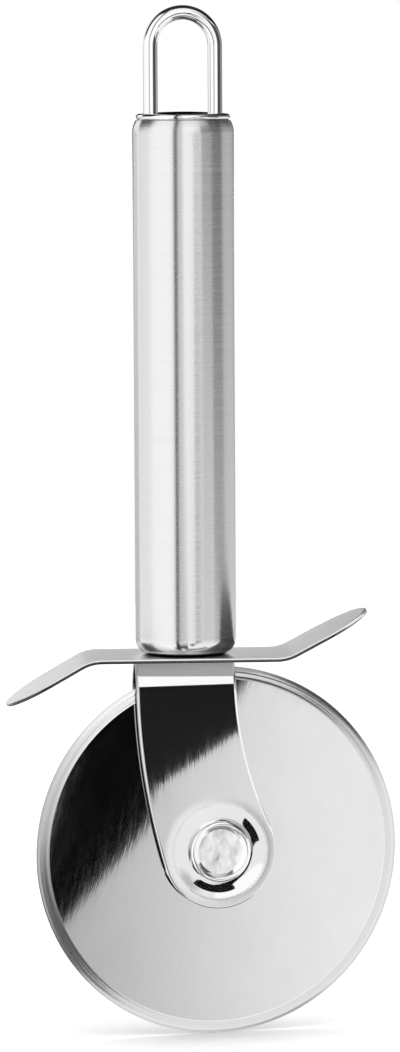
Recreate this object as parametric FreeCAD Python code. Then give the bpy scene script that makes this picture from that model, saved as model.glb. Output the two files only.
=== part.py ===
import FreeCAD, Part
import math
import os

# A pizza cutter: a tube handle with a hanging loop, a bent finger guard, and a folded fork that
# carries a cutting wheel. Millimetres and degrees. +Z runs up the handle, +Y along the wheel's
# axle, and the origin is where a hook touches the inside of the loop at its top.

# Handle: a drawn tube, closed and rounded at its lower end, its mouth curled in and faced flat.
handle_diameter = 19.0
handle_length = 100.3
handle_wall = 0.8
handle_foot_radius = 2.9
handle_mouth_bend = 3.4
handle_mouth_turn = 32

# End cap: a turned cup pressed into the mouth, with a low dome and a half-round bead on the tube.
cap_plate = 2.4
cap_skirt_wall = 0.4
cap_skirt_depth = 8.0
cap_bead_radius = 0.6
cap_overhang = 0.62
cap_dome = 0.4
cap_clearance = 0.02

# Hanging loop: round wire bent to a U, both legs through the cap and peened below its plate.
loop_wire_diameter = 2.7
loop_inside_height = 17.1
loop_hole_clearance = 0.05
loop_head_flare = 0.15
loop_head_height = 0.9
loop_head_margin = 0.05

# Finger guard: a strip with one wing bent down and one bent up, turned a little on the handle.
guard_thickness = 0.8
guard_width = 20.0
guard_flat_half = 18.4
guard_wing_length = 17.85
guard_drop_angle = 29.6
guard_lift_angle = 27.7
guard_bend_radius = 8.0
guard_turn = -9.5
guard_edge_radius = 0.3

# Fork: a strip folded to a narrow arch, with both arms leaning the same way. Bends are measured inside.
fork_sheet = 1.0
fork_width = 19.2
fork_shift = -0.4
fork_upright = 3.0
fork_edge_radius = 0.35
fork_end_land = 1.6
fold_flank_bend = 13.0
fold_crown_bend = 0.2

# Axle seat: a round dish pressed into each arm until it nearly meets the wheel.
axle_offset = 5.9
dish_depth = 0.47
dish_wall_angle = 11.5
dish_rim_bend = 0.3
dish_floor_bend = 10.0
dish_floor_margin = 0.05

# Fork stud and the insert that it screws into, drawn plain at the thread's mean size.
stud_diameter = 5.0
stud_neck_margin = 0.2
stud_neck_clearance = 0.02
stud_hole_clearance = 0.05
stud_thread_clearance = 0.05
stud_tip_room = 1.0
stud_chamfer = 0.6
insert_height = 12.0
insert_margin = 0.3
insert_chamfer = 0.8

# Cutting wheel: a disc with a wide bevel and a steeper honed edge on both faces.
wheel_diameter = 70.0
wheel_thickness = 1.0
wheel_bevel_width = 1.45
wheel_bevel_depth = 0.2
wheel_edge_width = 0.9
wheel_edge_thickness = 0.14
wheel_side_clearance = 0.4
wheel_rim_clearance = 0.8

# Axle: a sleeve that the wheel turns on, held by a rivet with a washer at its peened end.
rivet_diameter = 4.0
rivet_clearance = 0.05
rivet_head_diameter = 11.7
rivet_head_height = 1.45
rivet_rim_radius = 0.6
rivet_rim_turn = 70
rivet_wall_slope = 0.4
rivet_face_height = 0.55
sleeve_wall = 0.95
sleeve_running_clearance = 0.05
washer_width = 2.15
washer_thickness = 0.6
tail_flare = 1.2
tail_height = 1.0

# No rounding or chamfer takes more than this share of the wall that it is cut in.
edge_share = 0.4
rim_share = 0.75

# Levels, from the hook's seat downwards.
cap_top = -loop_inside_height
mouth_z = cap_top - cap_dome - 2 * cap_bead_radius
plate_bottom = cap_top - cap_plate
guard_top = mouth_z - handle_length
floor_z = guard_top + handle_wall
fold_top = guard_top - guard_thickness
arm_top = fold_top - fork_upright
wheel_radius = wheel_diameter / 2
axle_z = fold_top - fork_sheet - wheel_rim_clearance - wheel_radius

# Radii that more than one piece shares.
handle_radius = handle_diameter / 2
foot_flat_radius = handle_radius - handle_foot_radius
curl_radius = handle_mouth_bend + handle_wall
curl_x = handle_radius - curl_radius
curl_rise = math.sin(math.radians(handle_mouth_turn))
mouth_bore = curl_x + handle_mouth_bend * math.cos(math.radians(handle_mouth_turn))
cap_radius = mouth_bore + cap_overhang
plug_radius = mouth_bore - cap_clearance
skirt_radius = plug_radius - cap_skirt_wall
wire_radius = loop_wire_diameter / 2
peened_radius = wire_radius + loop_head_flare
leg_x = skirt_radius - loop_head_margin - peened_radius
stud_radius = stud_diameter / 2
stud_hole_radius = stud_radius + stud_hole_clearance
neck_radius = fold_crown_bend + fork_sheet - stud_neck_margin
shank_radius = rivet_diameter / 2
shank_hole_radius = shank_radius + rivet_clearance
sleeve_radius = shank_hole_radius + sleeve_wall
head_radius = rivet_head_diameter / 2

# Distances along the axle from the middle of the wheel.
floor_inside = wheel_thickness / 2 + wheel_side_clearance
floor_outside = floor_inside + fork_sheet
arm_inside = floor_inside + dish_depth
arm_outside = arm_inside + fork_sheet
washer_outside = floor_outside + washer_thickness

# The fold is three bends: each flank leans in until the small crown takes over.
fold_reach = fold_flank_bend - fold_crown_bend
fold_turn = math.acos((fold_flank_bend - arm_inside) / fold_reach)
fold_angle = math.degrees(fold_turn)
crown_centre = fold_top - fold_crown_bend - fork_sheet
fold_base = crown_centre - fold_reach * math.sin(fold_turn)
arch_length = 2 * (abs(fork_shift) + fork_width + axle_offset + wheel_diameter)

# The dish is a sloping wall between two bends, one into the arm and a wider one to its floor.
dish_rim_outside = dish_rim_bend + fork_sheet
dish_reach = dish_rim_outside + dish_floor_bend
dish_turn = math.radians(dish_wall_angle)
dish_wall_rise = dish_depth - dish_reach * (1 - math.cos(dish_turn))
dish_wall_run = dish_wall_rise / math.tan(dish_turn)
dish_floor_radius = head_radius + dish_floor_margin
dish_rim_radius = dish_floor_radius + dish_reach * math.sin(dish_turn) + dish_wall_run
fork_end_radius = dish_rim_radius + fork_end_land

ORIGIN = FreeCAD.Vector(0, 0, 0)
RIGHT = FreeCAD.Vector(1, 0, 0)
ACROSS = FreeCAD.Vector(0, 1, 0)
UP = FreeCAD.Vector(0, 0, 1)
AXLE = FreeCAD.Vector(axle_offset, 0, axle_z)
PAST = 1.0
CLOSE = 1e-6


def side(x, z):
    """A point in the wheel's plane."""
    return FreeCAD.Vector(x, 0, z)


def polar(length, angle):
    """A step in the wheel's plane, at an angle in degrees from +X towards +Z."""
    turn = math.radians(angle)
    return side(length * math.cos(turn), length * math.sin(turn))


def line(start, end):
    return Part.LineSegment(start, end).toShape()


def arc(centre, radius, start, end):
    """An arc in the wheel's plane, between two angles in degrees, either way round."""
    angles = (start, (start + end) / 2, end)
    return Part.Arc(*[centre + polar(radius, angle) for angle in angles]).toShape()


def dome(rim_x, rim_z, rise):
    """A shallow arc from the axis out to a rim point, level on the axis and higher there by rise,
    or lower where rise is negative."""
    radius = (rim_x ** 2 + rise ** 2) / (2 * rise)
    spread = math.degrees(math.asin(rim_x / radius))
    return arc(side(0, rim_z + rise - radius), radius, 90, 90 - spread)


def face(*pieces):
    """A flat face inside corner points and arcs given in order, joined by straight edges."""
    ends = []
    for piece in pieces:
        if isinstance(piece, FreeCAD.Vector):
            ends.append((piece, piece))
        else:
            ends.append((piece.firstVertex(True).Point, piece.lastVertex(True).Point))
    edges = []
    for number, piece in enumerate(pieces):
        if not isinstance(piece, FreeCAD.Vector):
            edges.append(piece)
        start = ends[number][1]
        end = ends[(number + 1) % len(pieces)][0]
        if not start.isEqual(end, CLOSE):
            edges.append(line(start, end))
    return Part.Face(Part.Wire(edges))


def turned(*pieces):
    """A solid turned about the handle's axis from an outline in the wheel's plane."""
    return face(*pieces).revolve(ORIGIN, UP, 360)


def on_axle(solid):
    """Lays a solid that was turned upright along the axle, with its top to the front."""
    solid.rotate(ORIGIN, RIGHT, 90)
    solid.translate(AXLE)
    return solid


def ring(inner, outer, low, high):
    return turned(side(inner, low), side(outer, low), side(outer, high), side(inner, high))


def rod(radius, low, high, x=0):
    return Part.makeCylinder(radius, high - low, side(x, low))


def plate(outline, depth):
    """A face in the wheel's plane made as thick as given, half to the front and half to the back."""
    solid = outline.extrude(ACROSS * depth)
    solid.translate(ACROSS * (-depth / 2))
    return solid


def rounded(solid, radius, is_picked):
    """Rounds the outline of the picked faces, but no edge that two of them share."""
    found = []
    for picked in filter(is_picked, solid.Faces):
        found.extend(picked.Edges)
    codes = [edge.hashCode() for edge in found]
    single = [edge for edge, code in zip(found, codes) if codes.count(code) == 1]
    return solid.makeFillet(radius, single)


def handle_tube():
    foot_round = side(foot_flat_radius, guard_top + handle_foot_radius)
    curl = side(curl_x, mouth_z - curl_radius * curl_rise)
    return turned(
        side(stud_hole_radius, guard_top),
        arc(foot_round, handle_foot_radius, -90, 0),
        arc(curl, curl_radius, 0, handle_mouth_turn),
        side(mouth_bore, mouth_z),
        arc(curl, handle_mouth_bend, handle_mouth_turn, 0),
        arc(foot_round, handle_foot_radius - handle_wall, 0, -90),
        side(stud_hole_radius, floor_z),
    )


def threaded_insert():
    hole = stud_radius + stud_thread_clearance
    radius = foot_flat_radius - insert_margin
    top = floor_z + insert_height
    chamfer = min(insert_chamfer, edge_share * (radius - hole))
    return turned(
        side(hole, floor_z),
        side(radius, floor_z),
        side(radius, top - chamfer),
        side(radius - chamfer, top),
        side(hole, top),
    )


def end_cap():
    skirt_end = mouth_z - cap_skirt_depth
    bead = side(cap_radius - cap_bead_radius, mouth_z + cap_bead_radius)
    bead_start = -math.degrees(math.acos((plug_radius - bead.x) / cap_bead_radius))
    cap = turned(
        side(0, plate_bottom),
        side(skirt_radius, plate_bottom),
        side(skirt_radius, skirt_end),
        side(plug_radius, skirt_end),
        arc(bead, cap_bead_radius, bead_start, 90),
        dome(bead.x, bead.z + cap_bead_radius, cap_dome).reversed(),
    )
    for x in (-leg_x, leg_x):
        cap = cap.cut(rod(wire_radius + loop_hole_clearance, plate_bottom - PAST, cap_top + PAST, x))
    return cap


def hanging_loop():
    crown = side(0, wire_radius - leg_x)
    leg_end = plate_bottom - loop_head_height
    path = Part.Wire([
        line(side(leg_x, leg_end), side(leg_x, crown.z)),
        arc(crown, leg_x, 0, 180),
        line(side(-leg_x, crown.z), side(-leg_x, leg_end)),
    ])
    section = Part.Wire(Part.makeCircle(wire_radius, side(leg_x, leg_end), UP))
    loop = path.makePipeShell([section], True, False)
    heads = [rod(peened_radius, leg_end, plate_bottom, x) for x in (-leg_x, leg_x)]
    return loop.fuse(heads).removeSplitter()


def wing_end(direction, angle):
    """What is cut off a wing, on the left for -1 and on the right for 1, to round its end."""
    radius = guard_width / 2
    reach = 2 * guard_thickness
    block = Part.makeBox(radius + PAST, guard_width + 2 * PAST, 2 * reach)
    block.translate(FreeCAD.Vector(0, -radius - PAST, -reach))
    block = block.cut(rod(radius, -reach - PAST, reach + PAST))
    if direction < 0:
        block.rotate(ORIGIN, UP, 180)
    block.translate(side(direction * (guard_wing_length - radius), 0))
    block.rotate(ORIGIN, ACROSS, -angle)
    block.translate(side(direction * guard_flat_half, guard_top - guard_thickness / 2))
    return block


def guard_profile():
    """The strip seen from the side: flat in the middle, the left wing down, the right wing up."""
    half = guard_thickness / 2
    middle = guard_top - half
    left_flat = guard_flat_half - guard_bend_radius * math.tan(math.radians(guard_drop_angle / 2))
    right_flat = guard_flat_half - guard_bend_radius * math.tan(math.radians(guard_lift_angle / 2))
    left_bend = side(-left_flat, middle - guard_bend_radius)
    right_bend = side(right_flat, middle + guard_bend_radius)
    left_tip = side(-guard_flat_half, middle) - polar(guard_wing_length, guard_drop_angle)
    right_tip = side(guard_flat_half, middle) + polar(guard_wing_length, guard_lift_angle)
    left_up = polar(half, 90 + guard_drop_angle)
    right_up = polar(half, 90 + guard_lift_angle)
    return face(
        left_tip + left_up,
        arc(left_bend, guard_bend_radius + half, 90 + guard_drop_angle, 90),
        arc(right_bend, guard_bend_radius - half, -90, guard_lift_angle - 90),
        right_tip + right_up,
        right_tip - right_up,
        arc(right_bend, guard_bend_radius + half, guard_lift_angle - 90, -90),
        arc(left_bend, guard_bend_radius - half, 90, 90 + guard_drop_angle),
        left_tip - left_up,
    )


def is_guard_edge(picked):
    """True for the narrow faces round the strip, false for its top and underside."""
    along = abs(picked.Surface.Axis.y)
    if isinstance(picked.Surface, Part.Plane):
        return along > 0.5
    return along < 0.5


def finger_guard():
    guard = plate(guard_profile(), guard_width)
    guard = guard.cut(wing_end(-1, guard_drop_angle))
    guard = guard.cut(wing_end(1, guard_lift_angle))
    guard = rounded(guard, min(guard_edge_radius, edge_share * guard_thickness), is_guard_edge)
    guard = guard.cut(rod(stud_hole_radius, fold_top - PAST, guard_top + PAST))
    guard.rotate(ORIGIN, UP, guard_turn)
    return guard


def arm_flank(direction):
    """One side of an arm, -1 left and 1 right: an arc that leaves the fold upright and runs into
    the round end, with the angle about the axle where they meet. It bulges where the arm narrows
    towards its end, and is hollow where the end stands further out than the fold."""
    edge_x = fork_shift + direction * fork_width / 2
    reach = direction * (edge_x - axle_offset)
    fall = arm_top - axle_z
    radius = (reach ** 2 + fall ** 2 - fork_end_radius ** 2) / (2 * (reach - fork_end_radius))
    centre = side(edge_x - direction * radius, arm_top)
    start = 0 if direction * radius > 0 else 180
    away = AXLE - centre
    meeting = math.degrees(math.atan2(away.z, away.x))
    end = meeting if start == 0 else meeting % 360
    return arc(centre, abs(radius), start, end), meeting if radius > 0 else meeting + 180


def arm_outline():
    """The arms seen along the axle."""
    left_flank, left_angle = arm_flank(-1)
    right_flank, right_angle = arm_flank(1)
    return face(
        side(fork_shift + fork_width / 2, fold_top),
        right_flank,
        arc(AXLE, fork_end_radius, right_angle, left_angle),
        left_flank.reversed(),
        side(fork_shift - fork_width / 2, fold_top),
    )


def arch(sheet):
    """The block inside the folded strip, or up to its outer face where the sheet is given, long
    enough along the fold and downwards to cover the arms."""
    half = arm_inside + sheet
    flank = fold_flank_bend + sheet
    crown = fold_crown_bend + sheet
    foot = fold_base - arch_length
    block = plate(face(
        side(half, foot),
        arc(side(half - flank, fold_base), flank, 0, fold_angle),
        arc(side(0, crown_centre), crown, fold_angle, 180 - fold_angle),
        arc(side(flank - half, fold_base), flank, 180 - fold_angle, 180),
        side(-half, foot),
    ), arch_length)
    block.rotate(ORIGIN, UP, 90)
    return block


def is_fork_outside(picked):
    """True for the outer faces of the two arms and of the fold between them."""
    surface = picked.Surface
    if isinstance(surface, Part.Plane):
        return abs(surface.Axis.y) > 0.5 and abs(picked.CenterOfMass.y) > (arm_inside + arm_outside) / 2
    bends = (fold_flank_bend + fork_sheet, fold_crown_bend + fork_sheet)
    return abs(surface.Axis.x) > 0.5 and any(abs(surface.Radius - bend) < CLOSE for bend in bends)


def axle_dish():
    """The front dish, a sheet of even thickness with the rivet's hole in its floor."""
    floor_bend = side(dish_floor_radius, floor_outside + dish_floor_bend)
    rim_bend = side(dish_rim_radius, arm_outside - dish_rim_outside)
    return on_axle(turned(
        side(shank_hole_radius, floor_inside),
        arc(floor_bend, dish_floor_bend + fork_sheet, -90, dish_wall_angle - 90),
        arc(rim_bend, dish_rim_bend, 90 + dish_wall_angle, 90),
        arc(rim_bend, dish_rim_outside, 90, 90 + dish_wall_angle),
        arc(floor_bend, dish_floor_bend, dish_wall_angle - 90, -90),
        side(shank_hole_radius, floor_outside),
    ))


def fork():
    sheet = arch(fork_sheet).cut(arch(0)).common(plate(arm_outline(), 4 * arm_outside))
    sheet = rounded(sheet, min(fork_edge_radius, edge_share * fork_sheet), is_fork_outside)
    sheet = sheet.cut(on_axle(rod(dish_rim_radius, -2 * arm_outside, 2 * arm_outside)))
    dish = axle_dish()
    sheet = sheet.fuse([dish, dish.mirror(ORIGIN, ACROSS)]).removeSplitter()
    return sheet.cut(rod(neck_radius + stud_neck_clearance, crown_centre, fold_top + PAST))


def fork_stud():
    tip = floor_z + insert_height - stud_tip_room
    stud = turned(
        side(0, crown_centre),
        side(neck_radius, crown_centre),
        side(neck_radius, fold_top),
        side(stud_radius, fold_top),
        side(stud_radius, tip - stud_chamfer),
        side(stud_radius - stud_chamfer, tip),
        side(0, tip),
    )
    return stud.cut(arch(0))


def axle_sleeve():
    return on_axle(ring(shank_hole_radius, sleeve_radius, -floor_inside, floor_inside))


def rivet_washer():
    return on_axle(ring(shank_hole_radius, shank_hole_radius + washer_width, -washer_outside, -floor_outside))


def axle_rivet():
    top = floor_outside + rivet_head_height
    face_z = floor_outside + rivet_face_height
    rim_radius = min(rivet_rim_radius, rim_share * (top - face_z))
    rim = side(head_radius - rim_radius, top - rim_radius)
    face_x = rim.x - rim_radius - rivet_wall_slope
    return on_axle(turned(
        dome(shank_radius + tail_flare, -washer_outside, -tail_height),
        side(shank_radius, -washer_outside),
        side(shank_radius, floor_outside),
        side(head_radius, floor_outside),
        arc(rim, rim_radius, 0, 90 + rivet_rim_turn),
        side(face_x, face_z),
        side(0, face_z),
    ))


def cutting_wheel():
    half = wheel_thickness / 2
    bore = sleeve_radius + sleeve_running_clearance
    hone = wheel_radius - wheel_edge_width
    shoulder = hone - wheel_bevel_width
    return on_axle(turned(
        side(bore, -half),
        side(shoulder, -half),
        side(hone, wheel_bevel_depth - half),
        side(wheel_radius, -wheel_edge_thickness / 2),
        side(wheel_radius, wheel_edge_thickness / 2),
        side(hone, half - wheel_bevel_depth),
        side(shoulder, half),
        side(bore, half),
    ))


pieces = (
    handle_tube,
    threaded_insert,
    end_cap,
    hanging_loop,
    finger_guard,
    fork,
    fork_stud,
    axle_sleeve,
    axle_rivet,
    rivet_washer,
    cutting_wheel,
)

os.makedirs("parts", exist_ok=True)
for piece in pieces:
    shape = piece()
    shape.exportStep(f"parts/{piece.__name__}.step")
    print(piece.__name__, len(shape.Solids), shape.isValid(), round(shape.Volume, 2))
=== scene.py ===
import math

import bmesh
import bpy
from mathutils import Matrix, Vector


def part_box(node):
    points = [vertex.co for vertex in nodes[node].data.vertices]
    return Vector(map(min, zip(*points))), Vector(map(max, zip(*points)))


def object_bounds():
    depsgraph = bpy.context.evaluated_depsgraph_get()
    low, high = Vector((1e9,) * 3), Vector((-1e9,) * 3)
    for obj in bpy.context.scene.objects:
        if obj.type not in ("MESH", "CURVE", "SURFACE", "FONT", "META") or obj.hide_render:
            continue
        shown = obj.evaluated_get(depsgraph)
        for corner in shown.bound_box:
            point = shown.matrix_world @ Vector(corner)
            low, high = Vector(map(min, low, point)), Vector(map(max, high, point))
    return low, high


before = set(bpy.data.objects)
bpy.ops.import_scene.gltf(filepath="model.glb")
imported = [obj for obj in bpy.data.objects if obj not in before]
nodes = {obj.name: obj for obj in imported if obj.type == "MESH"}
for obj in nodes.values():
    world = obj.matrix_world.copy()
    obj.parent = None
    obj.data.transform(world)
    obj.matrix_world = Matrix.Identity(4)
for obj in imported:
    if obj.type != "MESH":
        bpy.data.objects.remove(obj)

cad_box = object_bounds()


# Handle tube: thin stainless tube, closed and rounded at the foot. It was turned against an abrasive
# belt, so fine scratches run round it, and only the drawn foot is left bright. Under the foot, where it
# meets the guard, a dark band is painted shade.
mm = 0.001
foot_band = (2.4 * mm, 3.6 * mm)
painted_seam_band = (0.4 * mm, 0.65 * mm)
coarse_share = 0.23
smudges_per_metre = 120.0
handle_scratches = (90.0, 90.0, 9000.0)
handle_shade = (0.79, 0.88)
handle_roughness = (0.23, 0.31)
painted_seam_shade = 0.05
foot_roughness = 0.1
scratch_depth = 0.01 * mm
scratch_strength = 0.15


def place(tree, kind, inputs=None, **options):
    """Adds a shader node. Each input is a value or the output of another node."""
    node = tree.nodes.new("ShaderNode" + kind)
    for option, value in options.items():
        setattr(node, option, value)
    for socket, value in (inputs or {}).items():
        if isinstance(value, bpy.types.NodeSocket):
            tree.links.new(value, node.inputs[socket])
        else:
            node.inputs[socket].default_value = value
    return node


def feed(tree, node, outputs):
    """Joins outputs to the inputs of a node, by name."""
    for socket, output in outputs.items():
        tree.links.new(output, node.inputs[socket])


def maths(tree, operation, a, b=0.0, c=0.0):
    """Works out a value from up to three others."""
    return place(tree, "Math", {0: a, 1: b, 2: c}, operation=operation).outputs[0]


def spread(tree, source, low, high, bottom=0.3, top=0.7):
    """Maps a stretch of values to another, and holds its ends."""
    ramp = {"Value": source, "From Min": bottom, "From Max": top, "To Min": low, "To Max": high}
    return place(tree, "MapRange", ramp).outputs["Result"]


def blend(tree, share, first, second):
    """A value between two others, each a number or a socket."""
    mix = place(tree, "Mix", {"Factor": share, "A": first, "B": second}, data_type="FLOAT")
    return mix.outputs["Result"]


def grey(tree, value):
    """A grey colour of a changing brightness."""
    return place(tree, "CombineColor", {"Red": value, "Green": value, "Blue": value}).outputs["Color"]


def height_of(tree):
    """How high each point lies, in metres."""
    spot = place(tree, "TexCoord").outputs["Object"]
    return place(tree, "SeparateXYZ", {0: spot}).outputs["Z"]


def relief(tree, height, depth, strength=1.0):
    """A Bump node that raises a surface by a height, times the depth."""
    return place(tree, "Bump", {"Height": height, "Distance": depth, "Strength": strength})


def new_group(name, inputs, outputs):
    """An empty shader node group with its sockets, and its two end nodes."""
    group = bpy.data.node_groups.new(name, "ShaderNodeTree")
    for title, kind in inputs.items():
        group.interface.new_socket(title, in_out="INPUT", socket_type="NodeSocket" + kind)
    for title, kind in outputs.items():
        group.interface.new_socket(title, in_out="OUTPUT", socket_type="NodeSocket" + kind)
    start = group.nodes.new("NodeGroupInput")
    end = group.nodes.new("NodeGroupOutput")
    return group, start.outputs, end.inputs


def make_scratches():
    """Parallel scratches: two layers of noise drawn out along the strokes, and slow smudges."""
    inputs = {"Fineness": "Vector", "Turn": "Vector"}
    outputs = {"Lines": "Float", "Smudges": "Float"}
    group, given, result = new_group("scratches", inputs, outputs)
    surface = place(group, "TexCoord").outputs["Object"]
    turned = place(group, "Mapping", {"Vector": surface, "Rotation": given["Turn"]}).outputs["Vector"]
    strokes = place(group, "VectorMath", {0: turned, 1: given["Fineness"]}, operation="MULTIPLY")
    strokes = strokes.outputs["Vector"]
    fine = place(group, "TexNoise", {"Vector": strokes, "Scale": 1.0, "Detail": 3.0}).outputs["Fac"]
    coarse = {"Vector": strokes, "Scale": coarse_share, "Detail": 1.0}
    coarse = place(group, "TexNoise", coarse).outputs["Fac"]
    lines = maths(group, "MULTIPLY", maths(group, "ADD", fine, coarse), 0.5)
    smudges = {"Vector": surface, "Scale": smudges_per_metre, "Detail": 2.0}
    smudges = place(group, "TexNoise", smudges).outputs["Fac"]
    group.links.new(lines, result["Lines"])
    group.links.new(smudges, result["Smudges"])
    return group


scratches = make_scratches()


def new_steel(name, fineness=(900.0, 900.0, 900.0), turn=(0.0, 0.0, 0.0)):
    """A metal material: its node tree, its shader and its scratches, whose fineness is their number
    per metre along each axis."""
    material = bpy.data.materials.new(name)
    material.use_nodes = True
    tree = material.node_tree
    metal = tree.nodes["Principled BSDF"]
    metal.inputs["Metallic"].default_value = 1.0
    strokes = place(tree, "Group", {"Fineness": fineness, "Turn": turn}, node_tree=scratches).outputs
    return material, tree, metal, strokes


def dress(node, material):
    """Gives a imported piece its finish."""
    for slot in nodes[node].material_slots:
        slot.material = material


def brushed_handle():
    """Steel brushed round the tube, with a bright foot and a band of painted shade under it."""
    material, tree, metal, strokes = new_steel("brushed_handle", handle_scratches)
    above = maths(tree, "SUBTRACT", height_of(tree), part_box("handle_tube")[0].z)
    foot = spread(tree, above, 1.0, 0.0, *foot_band)
    # Painted shade: the bottom of the foot, where it meets the guard, is coloured dark.
    painted_seam_shadow = spread(tree, above, 1.0, 0.0, *painted_seam_band)
    shade = blend(tree, painted_seam_shadow, spread(tree, strokes["Lines"], *handle_shade), painted_seam_shade)
    rough = blend(tree, foot, spread(tree, strokes["Lines"], *handle_roughness), foot_roughness)
    lines = relief(tree, blend(tree, foot, strokes["Lines"], 0.5), scratch_depth, scratch_strength)
    feed(tree, metal, {
        "Base Color": grey(tree, shade),
        "Roughness": rough,
        "Normal": lines.outputs["Normal"],
        "Tangent": place(tree, "Tangent", direction_type="RADIAL", axis="Z").outputs["Tangent"],
    })
    metal.inputs["Anisotropic"].default_value = 0.95
    metal.inputs["Anisotropic Rotation"].default_value = 0.25
    return material


dress("handle_tube", brushed_handle())


# Threaded insert: plain turned steel, pressed into the closed foot of the handle, out of sight.
# The stud of the fork screws into it.
turned_scratches = (300.0, 300.0, 6000.0)
turned_shade = (0.66, 0.78)
turned_roughness = (0.28, 0.42)


def turned_steel():
    """Plain steel with turning lines."""
    material, tree, metal, strokes = new_steel("turned_steel", turned_scratches)
    feed(tree, metal, {
        "Base Color": grey(tree, spread(tree, strokes["Lines"], *turned_shade)),
        "Roughness": spread(tree, strokes["Lines"], *turned_roughness),
    })
    return material


plain_steel = turned_steel()
dress("threaded_insert", plain_steel)


# End cap and hanging loop: a turned cap in the mouth of the tube, and a bent wire whose two ends
# go through it. Both are polished bright, with slight smudges.
trim_shade = (0.88, 0.93)
trim_roughness = (0.03, 0.05)


def polished_trim():
    """Bright steel with smudges."""
    material, tree, metal, strokes = new_steel("polished_trim")
    feed(tree, metal, {
        "Base Color": grey(tree, spread(tree, strokes["Smudges"], *trim_shade)),
        "Roughness": spread(tree, strokes["Smudges"], *trim_roughness),
    })
    return material


trim = polished_trim()
dress("end_cap", trim)
dress("hanging_loop", trim)


# Finger guard: a strip of satin sheet, bent down at one wing and up at the other, and clamped between
# the handle and the fork. Its satin lines run along the strip. Its underside is darkened as painted
# shade, and its sheared edge carries a painted highlight on its upper part and painted shade below.
guard_turn = math.radians(-9.5)
guard_across = (-math.sin(guard_turn), math.cos(guard_turn), 0.0)
guard_scratches = (60.0, 6000.0, 60.0)
guard_shade = (0.88, 0.96)
guard_roughness = (0.27, 0.36)
painted_underside_shade = 0.55
painted_highlight_tone = 0.95
painted_highlight_metal = 0.15
painted_edge_shade = 0.1
edge_roughness = 0.16
edge_lean = (0.25, 0.5)
painted_shade_lean = (0.1, 0.25)
under_lean = (-0.8, -0.4)
satin_depth = 0.004 * mm
satin_strength = 0.2


def satin_guard():
    """Satin steel with painted shade on its underside and lower edge and a painted highlight on its upper
    edge, told apart by the way the surface faces.
    """
    along = (0.0, 0.0, -guard_turn)
    material, tree, metal, strokes = new_steel("satin_guard", guard_scratches, along)
    outward = place(tree, "NewGeometry").outputs["Normal"]
    sideways = place(tree, "VectorMath", {0: outward, 1: guard_across}, operation="DOT_PRODUCT")
    sideways = maths(tree, "ABSOLUTE", sideways.outputs["Value"])
    upward = place(tree, "SeparateXYZ", {0: outward}).outputs["Z"]
    edge = spread(tree, sideways, 0.0, 1.0, *edge_lean)
    # Painted shade on the downward part of the edge, and a painted highlight, brighter and less metallic,
    # on the rest of it.
    painted_shade_edge = maths(tree, "MULTIPLY", edge, spread(tree, upward, 1.0, 0.0, *painted_shade_lean))
    painted_highlight_edge = maths(tree, "SUBTRACT", edge, painted_shade_edge)
    satin = spread(tree, strokes["Lines"], *guard_shade)
    # Painted shade: the underside is coloured darker.
    satin = maths(tree, "MULTIPLY", satin, spread(tree, upward, painted_underside_shade, 1.0, *under_lean))
    shade = blend(tree, painted_shade_edge, blend(tree, painted_highlight_edge, satin, painted_highlight_tone), painted_edge_shade)
    rough = blend(tree, edge, spread(tree, strokes["Lines"], *guard_roughness), edge_roughness)
    feed(tree, metal, {
        "Base Color": grey(tree, shade),
        "Metallic": blend(tree, painted_highlight_edge, 1.0, painted_highlight_metal),
        "Roughness": rough,
        "Normal": relief(tree, strokes["Lines"], satin_depth, satin_strength).outputs["Normal"],
    })
    return material


dress("finger_guard", satin_guard())


# Fork and stud: a polished strip folded over the wheel, with a dish pressed round the axle. The press
# left the arms slightly bowed, drawn in round the dish, and rolled off along one flank. The dish rim
# has a painted sheen and the flank a painted highlight. The stud stands on the fold, inside the guard
# and handle.
mirror_scratches = (3000.0, 60.0, 350.0)
mirror_shade = (0.79, 0.82)
mirror_roughness = (0.02, 0.045)
polish_depth = 0.0012 * mm
fork_haze = 0.985
axle_spot = (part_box("axle_rivet")[0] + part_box("axle_rivet")[1]) / 2
bow_middle = axle_spot.z + 17.6 * mm
bow_foot = -4.5 * mm
bow_rate = 0.755
dish_radius = 9.35 * mm
draw_width = 1.6 * mm
draw_rate = 7.0
rim_band = (0.2 * mm, 0.35 * mm)
painted_sheen_metal = 0.3
roll_width = 0.5 * mm
roll_rate = 0.3
painted_flank_tone = 0.95

# The rolled flank is an arc that leaves the fold upright and runs into the arm's round end
fork_low, fork_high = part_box("fork")
fork_width = 19.2 * mm
fork_upright = 3.0 * mm
flank_x = fork_low.x + fork_width
flank_top = fork_high.z - fork_upright
flank_reach = flank_x - axle_spot.x
flank_fall = flank_top - axle_spot.z
end_radius = fork_high.x - axle_spot.x
flank_radius = (flank_fall ** 2 + flank_reach ** 2 - end_radius ** 2) / (2.0 * (end_radius - flank_reach))
flank_centre = (flank_x + flank_radius, 0.0, flank_top)


def mirror_steel(name, turn):
    """Polished sheet: a mirror with faint polishing lines."""
    material, tree, metal, strokes = new_steel(name, mirror_scratches, (0.0, turn, 0.0))
    shade = spread(tree, strokes["Smudges"], *mirror_shade)
    rough = spread(tree, strokes["Lines"], *mirror_roughness)
    polish = relief(tree, strokes["Lines"], polish_depth).outputs["Normal"]
    return material, tree, metal, shade, rough, polish


def distance_from(tree, centre):
    """How far each point lies from a line through the centre, parallel to the axle."""
    spot = place(tree, "TexCoord").outputs["Object"]
    reach = place(tree, "VectorMath", {0: spot, 1: centre}, operation="SUBTRACT").outputs["Vector"]
    flat = place(tree, "VectorMath", {0: reach, 1: (1.0, 0.0, 1.0)}, operation="MULTIPLY").outputs["Vector"]
    return place(tree, "VectorMath", {0: flat}, operation="LENGTH").outputs["Value"]


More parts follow.
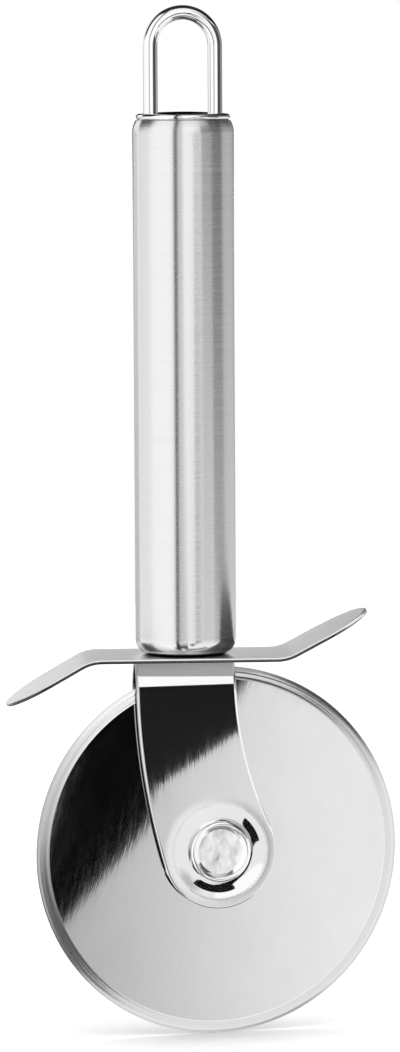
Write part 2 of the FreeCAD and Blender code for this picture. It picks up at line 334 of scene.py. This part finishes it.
def arm_bow(tree):
    """Height of the arms' bow: round about its middle, and straight below its foot."""
    above = maths(tree, "SUBTRACT", height_of(tree), bow_middle)
    curved = maths(tree, "MAXIMUM", above, bow_foot)
    straight = maths(tree, "MULTIPLY", maths(tree, "SUBTRACT", curved, above), 2.0 * bow_foot)
    sag = maths(tree, "SUBTRACT", straight, maths(tree, "MULTIPLY", curved, curved))
    return maths(tree, "MULTIPLY", sag, bow_rate)


def drawn_in(tree, away):
    """Height of the sheet where it was drawn in towards the dish."""
    inside = maths(tree, "SUBTRACT", dish_radius + draw_width, away)
    inside = maths(tree, "MINIMUM", maths(tree, "MAXIMUM", inside, 0.0), draw_width)
    return maths(tree, "MULTIPLY", maths(tree, "MULTIPLY", inside, inside), -draw_rate)


def polished_fork():
    """Mirror steel with the shape that the press left, a painted sheen on the dish rim and a painted
    highlight along the flank.
    """
    material, tree, metal, shade, rough, polish = mirror_steel("polished_fork", 0.0)
    from_flank = maths(tree, "SUBTRACT", distance_from(tree, flank_centre), flank_radius)
    rolled = maths(tree, "MAXIMUM", maths(tree, "SUBTRACT", roll_width, from_flank), 0.0)
    # Painted highlight: a brighter colour along the rolled flank.
    painted_flank_highlight = maths(tree, "GREATER_THAN", rolled, 0.0)
    away = distance_from(tree, axle_spot)
    # Painted sheen: a band round the dish rim is made less metallic, so it shows lighter.
    from_rim = maths(tree, "ABSOLUTE", maths(tree, "SUBTRACT", away, dish_radius - rim_band[0]))
    painted_rim_sheen = spread(tree, from_rim, 1.0, 0.0, *rim_band)
    shape = maths(tree, "ADD", arm_bow(tree), drawn_in(tree, away))
    shape = maths(tree, "MULTIPLY_ADD", rolled, -roll_rate, shape)
    bent = relief(tree, shape, 1.0)
    feed(tree, bent, {"Normal": polish})
    feed(tree, metal, {
        "Base Color": grey(tree, blend(tree, painted_flank_highlight, shade, painted_flank_tone)),
        "Metallic": blend(tree, painted_rim_sheen, fork_haze, painted_sheen_metal),
        "Roughness": rough,
        "Normal": bent.outputs["Normal"],
    })
    return material


dress("fork", polished_fork())
dress("fork_stud", plain_steel)


# Axle: a sleeve between the arms that the wheel turns on, a rivet through it and a washer under the
# peened end of the rivet. The press left the rivet's hollow head a little uneven.
rivet_shade = (0.92, 0.99)
rivet_roughness = (0.06, 0.14)
dents_per_metre = 300.0
dent_depth = 0.055 * mm


def pressed_rivet():
    """Bright steel with the dents of the press."""
    material, tree, metal, strokes = new_steel("polished_rivet")
    surface = place(tree, "TexCoord").outputs["Object"]
    dents = {"Vector": surface, "Scale": dents_per_metre, "Detail": 1.5}
    dents = place(tree, "TexNoise", dents).outputs["Fac"]
    feed(tree, metal, {
        "Base Color": grey(tree, spread(tree, strokes["Smudges"], *rivet_shade)),
        "Roughness": spread(tree, strokes["Lines"], *rivet_roughness),
        "Normal": relief(tree, dents, dent_depth).outputs["Normal"],
    })
    return material


rivet_steel = pressed_rivet()
dress("axle_sleeve", plain_steel)
dress("axle_rivet", rivet_steel)
dress("rivet_washer", rivet_steel)


# Cutting wheel: a disc of mirror-polished sheet that runs free on the sleeve. Its edge was ground in
# two steps, which left rings and ripples in the bevel. A painted highlight runs where the bevel starts,
# and the bevel grows darker towards the cutting edge.
polish_lean = math.radians(-15.0)
bevel_width = 2.35 * mm
bevel_roughness = (0.12, 0.22)
rings_per_metre = 5000.0
ring_shade = (0.9, 1.04)
ripple_pitch = 1.1 * mm
ripple_depth = 0.009 * mm

# Brightness at places across the bevel, from 0 where it starts to 1 at the cutting edge. The bright
# first stops are a painted highlight.
bevel_bands = {0.0: 0.9, 0.06: 0.9, 0.12: 0.76, 0.55: 0.77, 0.62: 0.82, 0.85: 0.8, 0.97: 0.62}


def polished_wheel():
    """Mirror steel with a ground bevel, worked out from the distance to the axle."""
    material, tree, metal, shade, rough, polish = mirror_steel("polished_wheel", polish_lean)
    low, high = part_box("cutting_wheel")
    radius = (high.x - low.x) / 2
    out = distance_from(tree, (low + high) / 2)
    across = spread(tree, out, 0.0, 1.0, radius - bevel_width, radius)
    ground = maths(tree, "GREATER_THAN", across, 0.0)
    bands = place(tree, "ValToRGB", {"Fac": across})
    stops = bands.color_ramp.elements
    for number, (position, brightness) in enumerate(bevel_bands.items()):
        stop = stops[number] if number < len(stops) else stops.new(position)
        stop.position = position
        stop.color = (brightness, brightness, brightness, 1.0)
    rings = {"W": out, "Scale": rings_per_metre, "Detail": 2.0}
    rings = place(tree, "TexNoise", rings, noise_dimensions="1D").outputs["Fac"]
    band = maths(tree, "MULTIPLY", bands.outputs["Color"], spread(tree, rings, *ring_shade))
    wave = maths(tree, "SINE", maths(tree, "MULTIPLY", out, 2.0 * math.pi / ripple_pitch))
    ripples = relief(tree, maths(tree, "MULTIPLY", wave, ground), ripple_depth)
    feed(tree, ripples, {"Normal": polish})
    feed(tree, metal, {
        "Base Color": grey(tree, blend(tree, ground, shade, band)),
        "Roughness": blend(tree, ground, rough, spread(tree, rings, *bevel_roughness)),
        "Normal": ripples.outputs["Normal"],
    })
    return material


dress("cutting_wheel", polished_wheel())


# Floor: a plain white table with a little gloss and a painted contact shadow where the wheel stands on
# it, and a soft lamp straight above that gives the shadow. To the camera it is lifted to the white of the
# studio.
floor_half = 0.8
floor_level = cad_box[0].z
floor_lift = 0.17
floor_tone = 0.98
floor_gloss = 0.2
floor_roughness = 0.35
contact_reach = 14.0 * mm
painted_contact_shade = 0.6
lamp_share = 0.4
lamp_angle = math.radians(60.0)
white = (1.0, 1.0, 1.0, 1.0)


def bare_material(name):
    """A material with an empty node tree."""
    material = bpy.data.materials.new(name)
    material.use_nodes = True
    material.node_tree.nodes.clear()
    return material, material.node_tree


def white_table():
    """A matt white with a little gloss, a painted shadow close to the wheel, and lifted to the camera."""
    material, tree = bare_material("white_table")
    clear = place(tree, "AmbientOcclusion", {"Distance": contact_reach}, samples=16).outputs["AO"]
    # Painted shadow: the table's colour darkens where ambient occlusion finds the wheel close.
    tone = spread(tree, clear, painted_contact_shade, floor_tone, 0.5, 1.0)
    matt = place(tree, "BsdfDiffuse", {"Color": grey(tree, tone)}).outputs[0]
    gloss = place(tree, "BsdfGlossy", {"Color": white, "Roughness": floor_roughness}).outputs[0]
    both = place(tree, "MixShader", {"Fac": floor_gloss, 1: matt, 2: gloss}).outputs[0]
    seen = maths(tree, "MULTIPLY", place(tree, "LightPath").outputs["Is Camera Ray"], floor_lift)
    lift = place(tree, "Emission", {"Color": white, "Strength": seen}).outputs[0]
    table = place(tree, "AddShader", {0: both, 1: lift}).outputs[0]
    place(tree, "OutputMaterial", {"Surface": table})
    return material


def board(name, corners, material):
    """A flat board of the studio."""
    shape = bmesh.new()
    shape.faces.new([shape.verts.new(corner) for corner in corners])
    mesh = bpy.data.meshes.new(name)
    shape.to_mesh(mesh)
    shape.free()
    mesh.materials.append(material)
    made = bpy.data.objects.new(name, mesh)
    bpy.context.scene.collection.objects.link(made)
    return made


floor_corners = [
    (-floor_half, -floor_half, floor_level),
    (floor_half, -floor_half, floor_level),
    (floor_half, floor_half, floor_level),
    (-floor_half, floor_half, floor_level),
]
floor = board("floor", floor_corners, white_table())
floor.visible_glossy = False

lamp_data = bpy.data.lights.new("overhead", "SUN")
lamp_data.energy = lamp_share * math.pi
lamp_data.angle = lamp_angle
lamp = bpy.data.objects.new("overhead", lamp_data)
lamp.visible_glossy = False
bpy.context.scene.collection.objects.link(lamp)


# Cards: boards that only mirrored light meets. Wheel, fork and dish mirror the front card, the dish
# the low one, the bevel the near ones, handle and loop the side ones, the fork's flank the edge one,
# the cap the rear one and the back of the wheel the last.
front, near, back = -600, -150, 500
side_distance = 500
black = (0.003, 0.003)


def beside(azimuth, height):
    """A point at the side cards' distance, by its azimuth in degrees."""
    angle = math.radians(azimuth)
    return (side_distance * math.sin(angle), -side_distance * math.cos(angle), height)


# Brightness at the foot and at the head of each card, then its corners in millimetres
cards = {
    "front_card": (
        black,
        (90, front, -285.6), (131.7, front, -240.8), (167, front, -192.4), (193, front, -205),
        (310, front, -104), (203, front, -33), (160, front, -36.9), (125, front, -39.5),
        (78, front, -76.5), (110.8, front, -150), (112, front, -195),
    ),
    "low_card": (
        black,
        (112, front, -298), (30, front, -430), (-52, front, -302), (86, front, -257),
    ),
    "near_low": (
        (0.12, 0.12),
        (-80, near, -275), (-15, near, -275), (-22, near, -190), (-80, near, -190),
    ),
    "near_middle": (
        (0.12, 0.62),
        (-80, near, -190), (-22, near, -190), (-22, near, -165), (-80, near, -165),
    ),
    "near_high": (
        (0.62, 0.9),
        (-80, near, -165), (-22, near, -165), (-16, near, -105), (-80, near, -105),
    ),
    "side_card": ((0.08, 0.08), beside(28, -70), beside(83, -70), beside(83, 200), beside(28, 200)),
    "side_low": ((0.3, 0.3), beside(55, -185), beside(88, -185), beside(88, -70), beside(55, -70)),
    "edge_card": (
        (1.0, 1.0),
        (150, -150, -200), (150, 60, -200), (150, 60, -128), (150, -150, -128),
    ),
    "rear_card": (
        black,
        (-60, 300, -35), (220, 300, -35), (220, 300, 260), (-60, 300, 260),
    ),
    "back_card": (
        (0.003, 0.02),
        (-150, back, -600), (700, back, -600), (700, back, -405), (-150, back, -225),
    ),
}


def studio_card(name, brightness, *corners):
    """A card that glows by its own brightness, graded from foot to head."""
    material, tree = bare_material(name)
    corners = [Vector(corner) * mm for corner in corners]
    foot = min(corner.z for corner in corners)
    head = max(corner.z for corner in corners)
    graded = spread(tree, height_of(tree), *brightness, foot, head)
    glow = place(tree, "Emission", {"Color": white, "Strength": graded}).outputs[0]
    place(tree, "OutputMaterial", {"Surface": glow})
    card = board(name, corners, material)
    card.visible_camera = False
    card.visible_diffuse = False
    card.visible_shadow = False


for card_name, card in cards.items():
    studio_card(card_name, *card)


# Surroundings: a white studio. What the polished steel mirrors is painted by direction, in degrees
# round from the front and up from level, and everything else sees plain white.
light_level = 1.16


def make_studio_patch():
    """A rectangle of another brightness with soft edges, over what is already there. It is measured
    from its own middle, which Turn brings to the front."""
    inputs = {
        "Direction": "Vector",
        "Turn": "Vector",
        "Under": "Float",
        "Shade": "Float",
        "Half Width": "Float",
        "Half Height": "Float",
        "Edge": "Float",
    }
    group, given, result = new_group("studio_patch", inputs, {"Shade": "Float"})
    local = {"Vector": given["Direction"], "Rotation": given["Turn"]}
    local = place(group, "Mapping", local, vector_type="TEXTURE").outputs["Vector"]
    part = place(group, "SeparateXYZ", {0: local}).outputs
    around = maths(group, "DEGREES", maths(group, "ARCTAN2", part["Y"], part["X"]))
    above = maths(group, "DEGREES", maths(group, "ARCSINE", part["Z"]))
    in_width = maths(group, "SUBTRACT", given["Half Width"], maths(group, "ABSOLUTE", around))
    in_height = maths(group, "SUBTRACT", given["Half Height"], maths(group, "ABSOLUTE", above))
    inside = maths(group, "DIVIDE", maths(group, "MINIMUM", in_width, in_height), given["Edge"])
    ramp = {"Value": inside, "From Min": -0.5, "From Max": 0.5, "To Min": 0.0, "To Max": 1.0}
    cover = place(group, "MapRange", ramp, interpolation_type="SMOOTHSTEP").outputs["Result"]
    group.links.new(blend(group, cover, given["Under"], given["Shade"]), result["Shade"])
    return group


# Azimuth, elevation, half width, half height, soft edge and brightness of each patch
patches = {
    "right_wall": (118.0, 20.0, 37.0, 24.0, 8.0, 0.3),
    "left_rear": (-165.0, -23.0, 22.0, 23.0, 6.0, 0.5),
    "ground": (0.0, -90.0, 42.0, 42.0, 10.0, 0.25),
    "high_rear": (180.0, 72.5, 66.0, 37.5, 6.0, 0.03),
    "left_light": (-70.0, 5.0, 28.0, 60.0, 10.0, 1.1),
    "front_light": (0.0, 14.0, 17.0, 16.0, 3.0, 1.2),
    "post_head": (-31.5, 45.0, 4.8, 36.0, 2.0, 0.1),
    "post_middle": (-31.5, 4.0, 4.8, 5.5, 2.0, 0.35),
    "post_foot": (-31.5, -30.0, 4.8, 29.0, 2.0, 0.05),
    "post_side": (-20.5, 0.0, 5.5, 70.0, 2.0, 0.75),
    "right_front": (38.0, 18.0, 12.0, 18.0, 8.0, 0.6),
    "front_spot": (11.2, -9.0, 2.2, 4.5, 4.5, 0.45),
}
studio_patch = make_studio_patch()
studio = bpy.data.worlds.new("studio")
studio.use_nodes = True
bpy.context.scene.world = studio
sky = studio.node_tree
sky.nodes.clear()
direction = place(sky, "TexCoord").outputs["Generated"]
painted = 1.0
for azimuth, elevation, half_width, half_height, edge, brightness in patches.values():
    patch = {
        "Direction": direction,
        "Turn": (0.0, math.radians(-elevation), math.radians(azimuth - 90.0)),
        "Under": painted,
        "Shade": brightness,
        "Half Width": half_width,
        "Half Height": half_height,
        "Edge": edge,
    }
    painted = place(sky, "Group", patch, node_tree=studio_patch).outputs["Shade"]

ray = place(sky, "LightPath").outputs
mirrored = place(sky, "Background", {"Color": painted, "Strength": 1.0}).outputs[0]
plain = place(sky, "Background", {"Color": white, "Strength": 1.0}).outputs[0]
soft = place(sky, "Background", {"Color": white, "Strength": light_level - lamp_share}).outputs[0]
lit = place(sky, "MixShader", {"Fac": ray["Is Camera Ray"], 1: soft, 2: plain}).outputs[0]
whole = place(sky, "MixShader", {"Fac": ray["Is Glossy Ray"], 1: lit, 2: mirrored}).outputs[0]
place(sky, "OutputWorld", {"Surface": whole})


# Camera: level with the loop, a little to the left of the front, as in the photograph. Its values were
# fitted to the outlines of the tube, the wheel and the guard there.
picture_height = 1052
focal_pixels = 5308.7
view_azimuth = math.radians(-13.76)
view_elevation = math.radians(4.893)
view_roll = math.radians(0.306)
view_distance = 1.0
view_target = Vector((2.873, 0.0, -94.97)) * mm

backward = Vector((
    math.sin(view_azimuth) * math.cos(view_elevation),
    -math.cos(view_azimuth) * math.cos(view_elevation),
    math.sin(view_elevation),
))
level = Vector((math.cos(view_azimuth), math.sin(view_azimuth), 0.0))
facing = Matrix((level, backward.cross(level), backward)).transposed()
facing = facing @ Matrix.Rotation(-view_roll, 3, "Z")
camera_data = bpy.data.cameras.new("camera")
camera_data.lens = focal_pixels * camera_data.sensor_width / picture_height
camera = bpy.data.objects.new("camera", camera_data)
camera.matrix_world = Matrix.Translation(view_target + backward * view_distance) @ facing.to_4x4()
bpy.context.scene.collection.objects.link(camera)
bpy.context.scene.camera = camera
bpy.context.scene.view_settings.view_transform = "Standard"
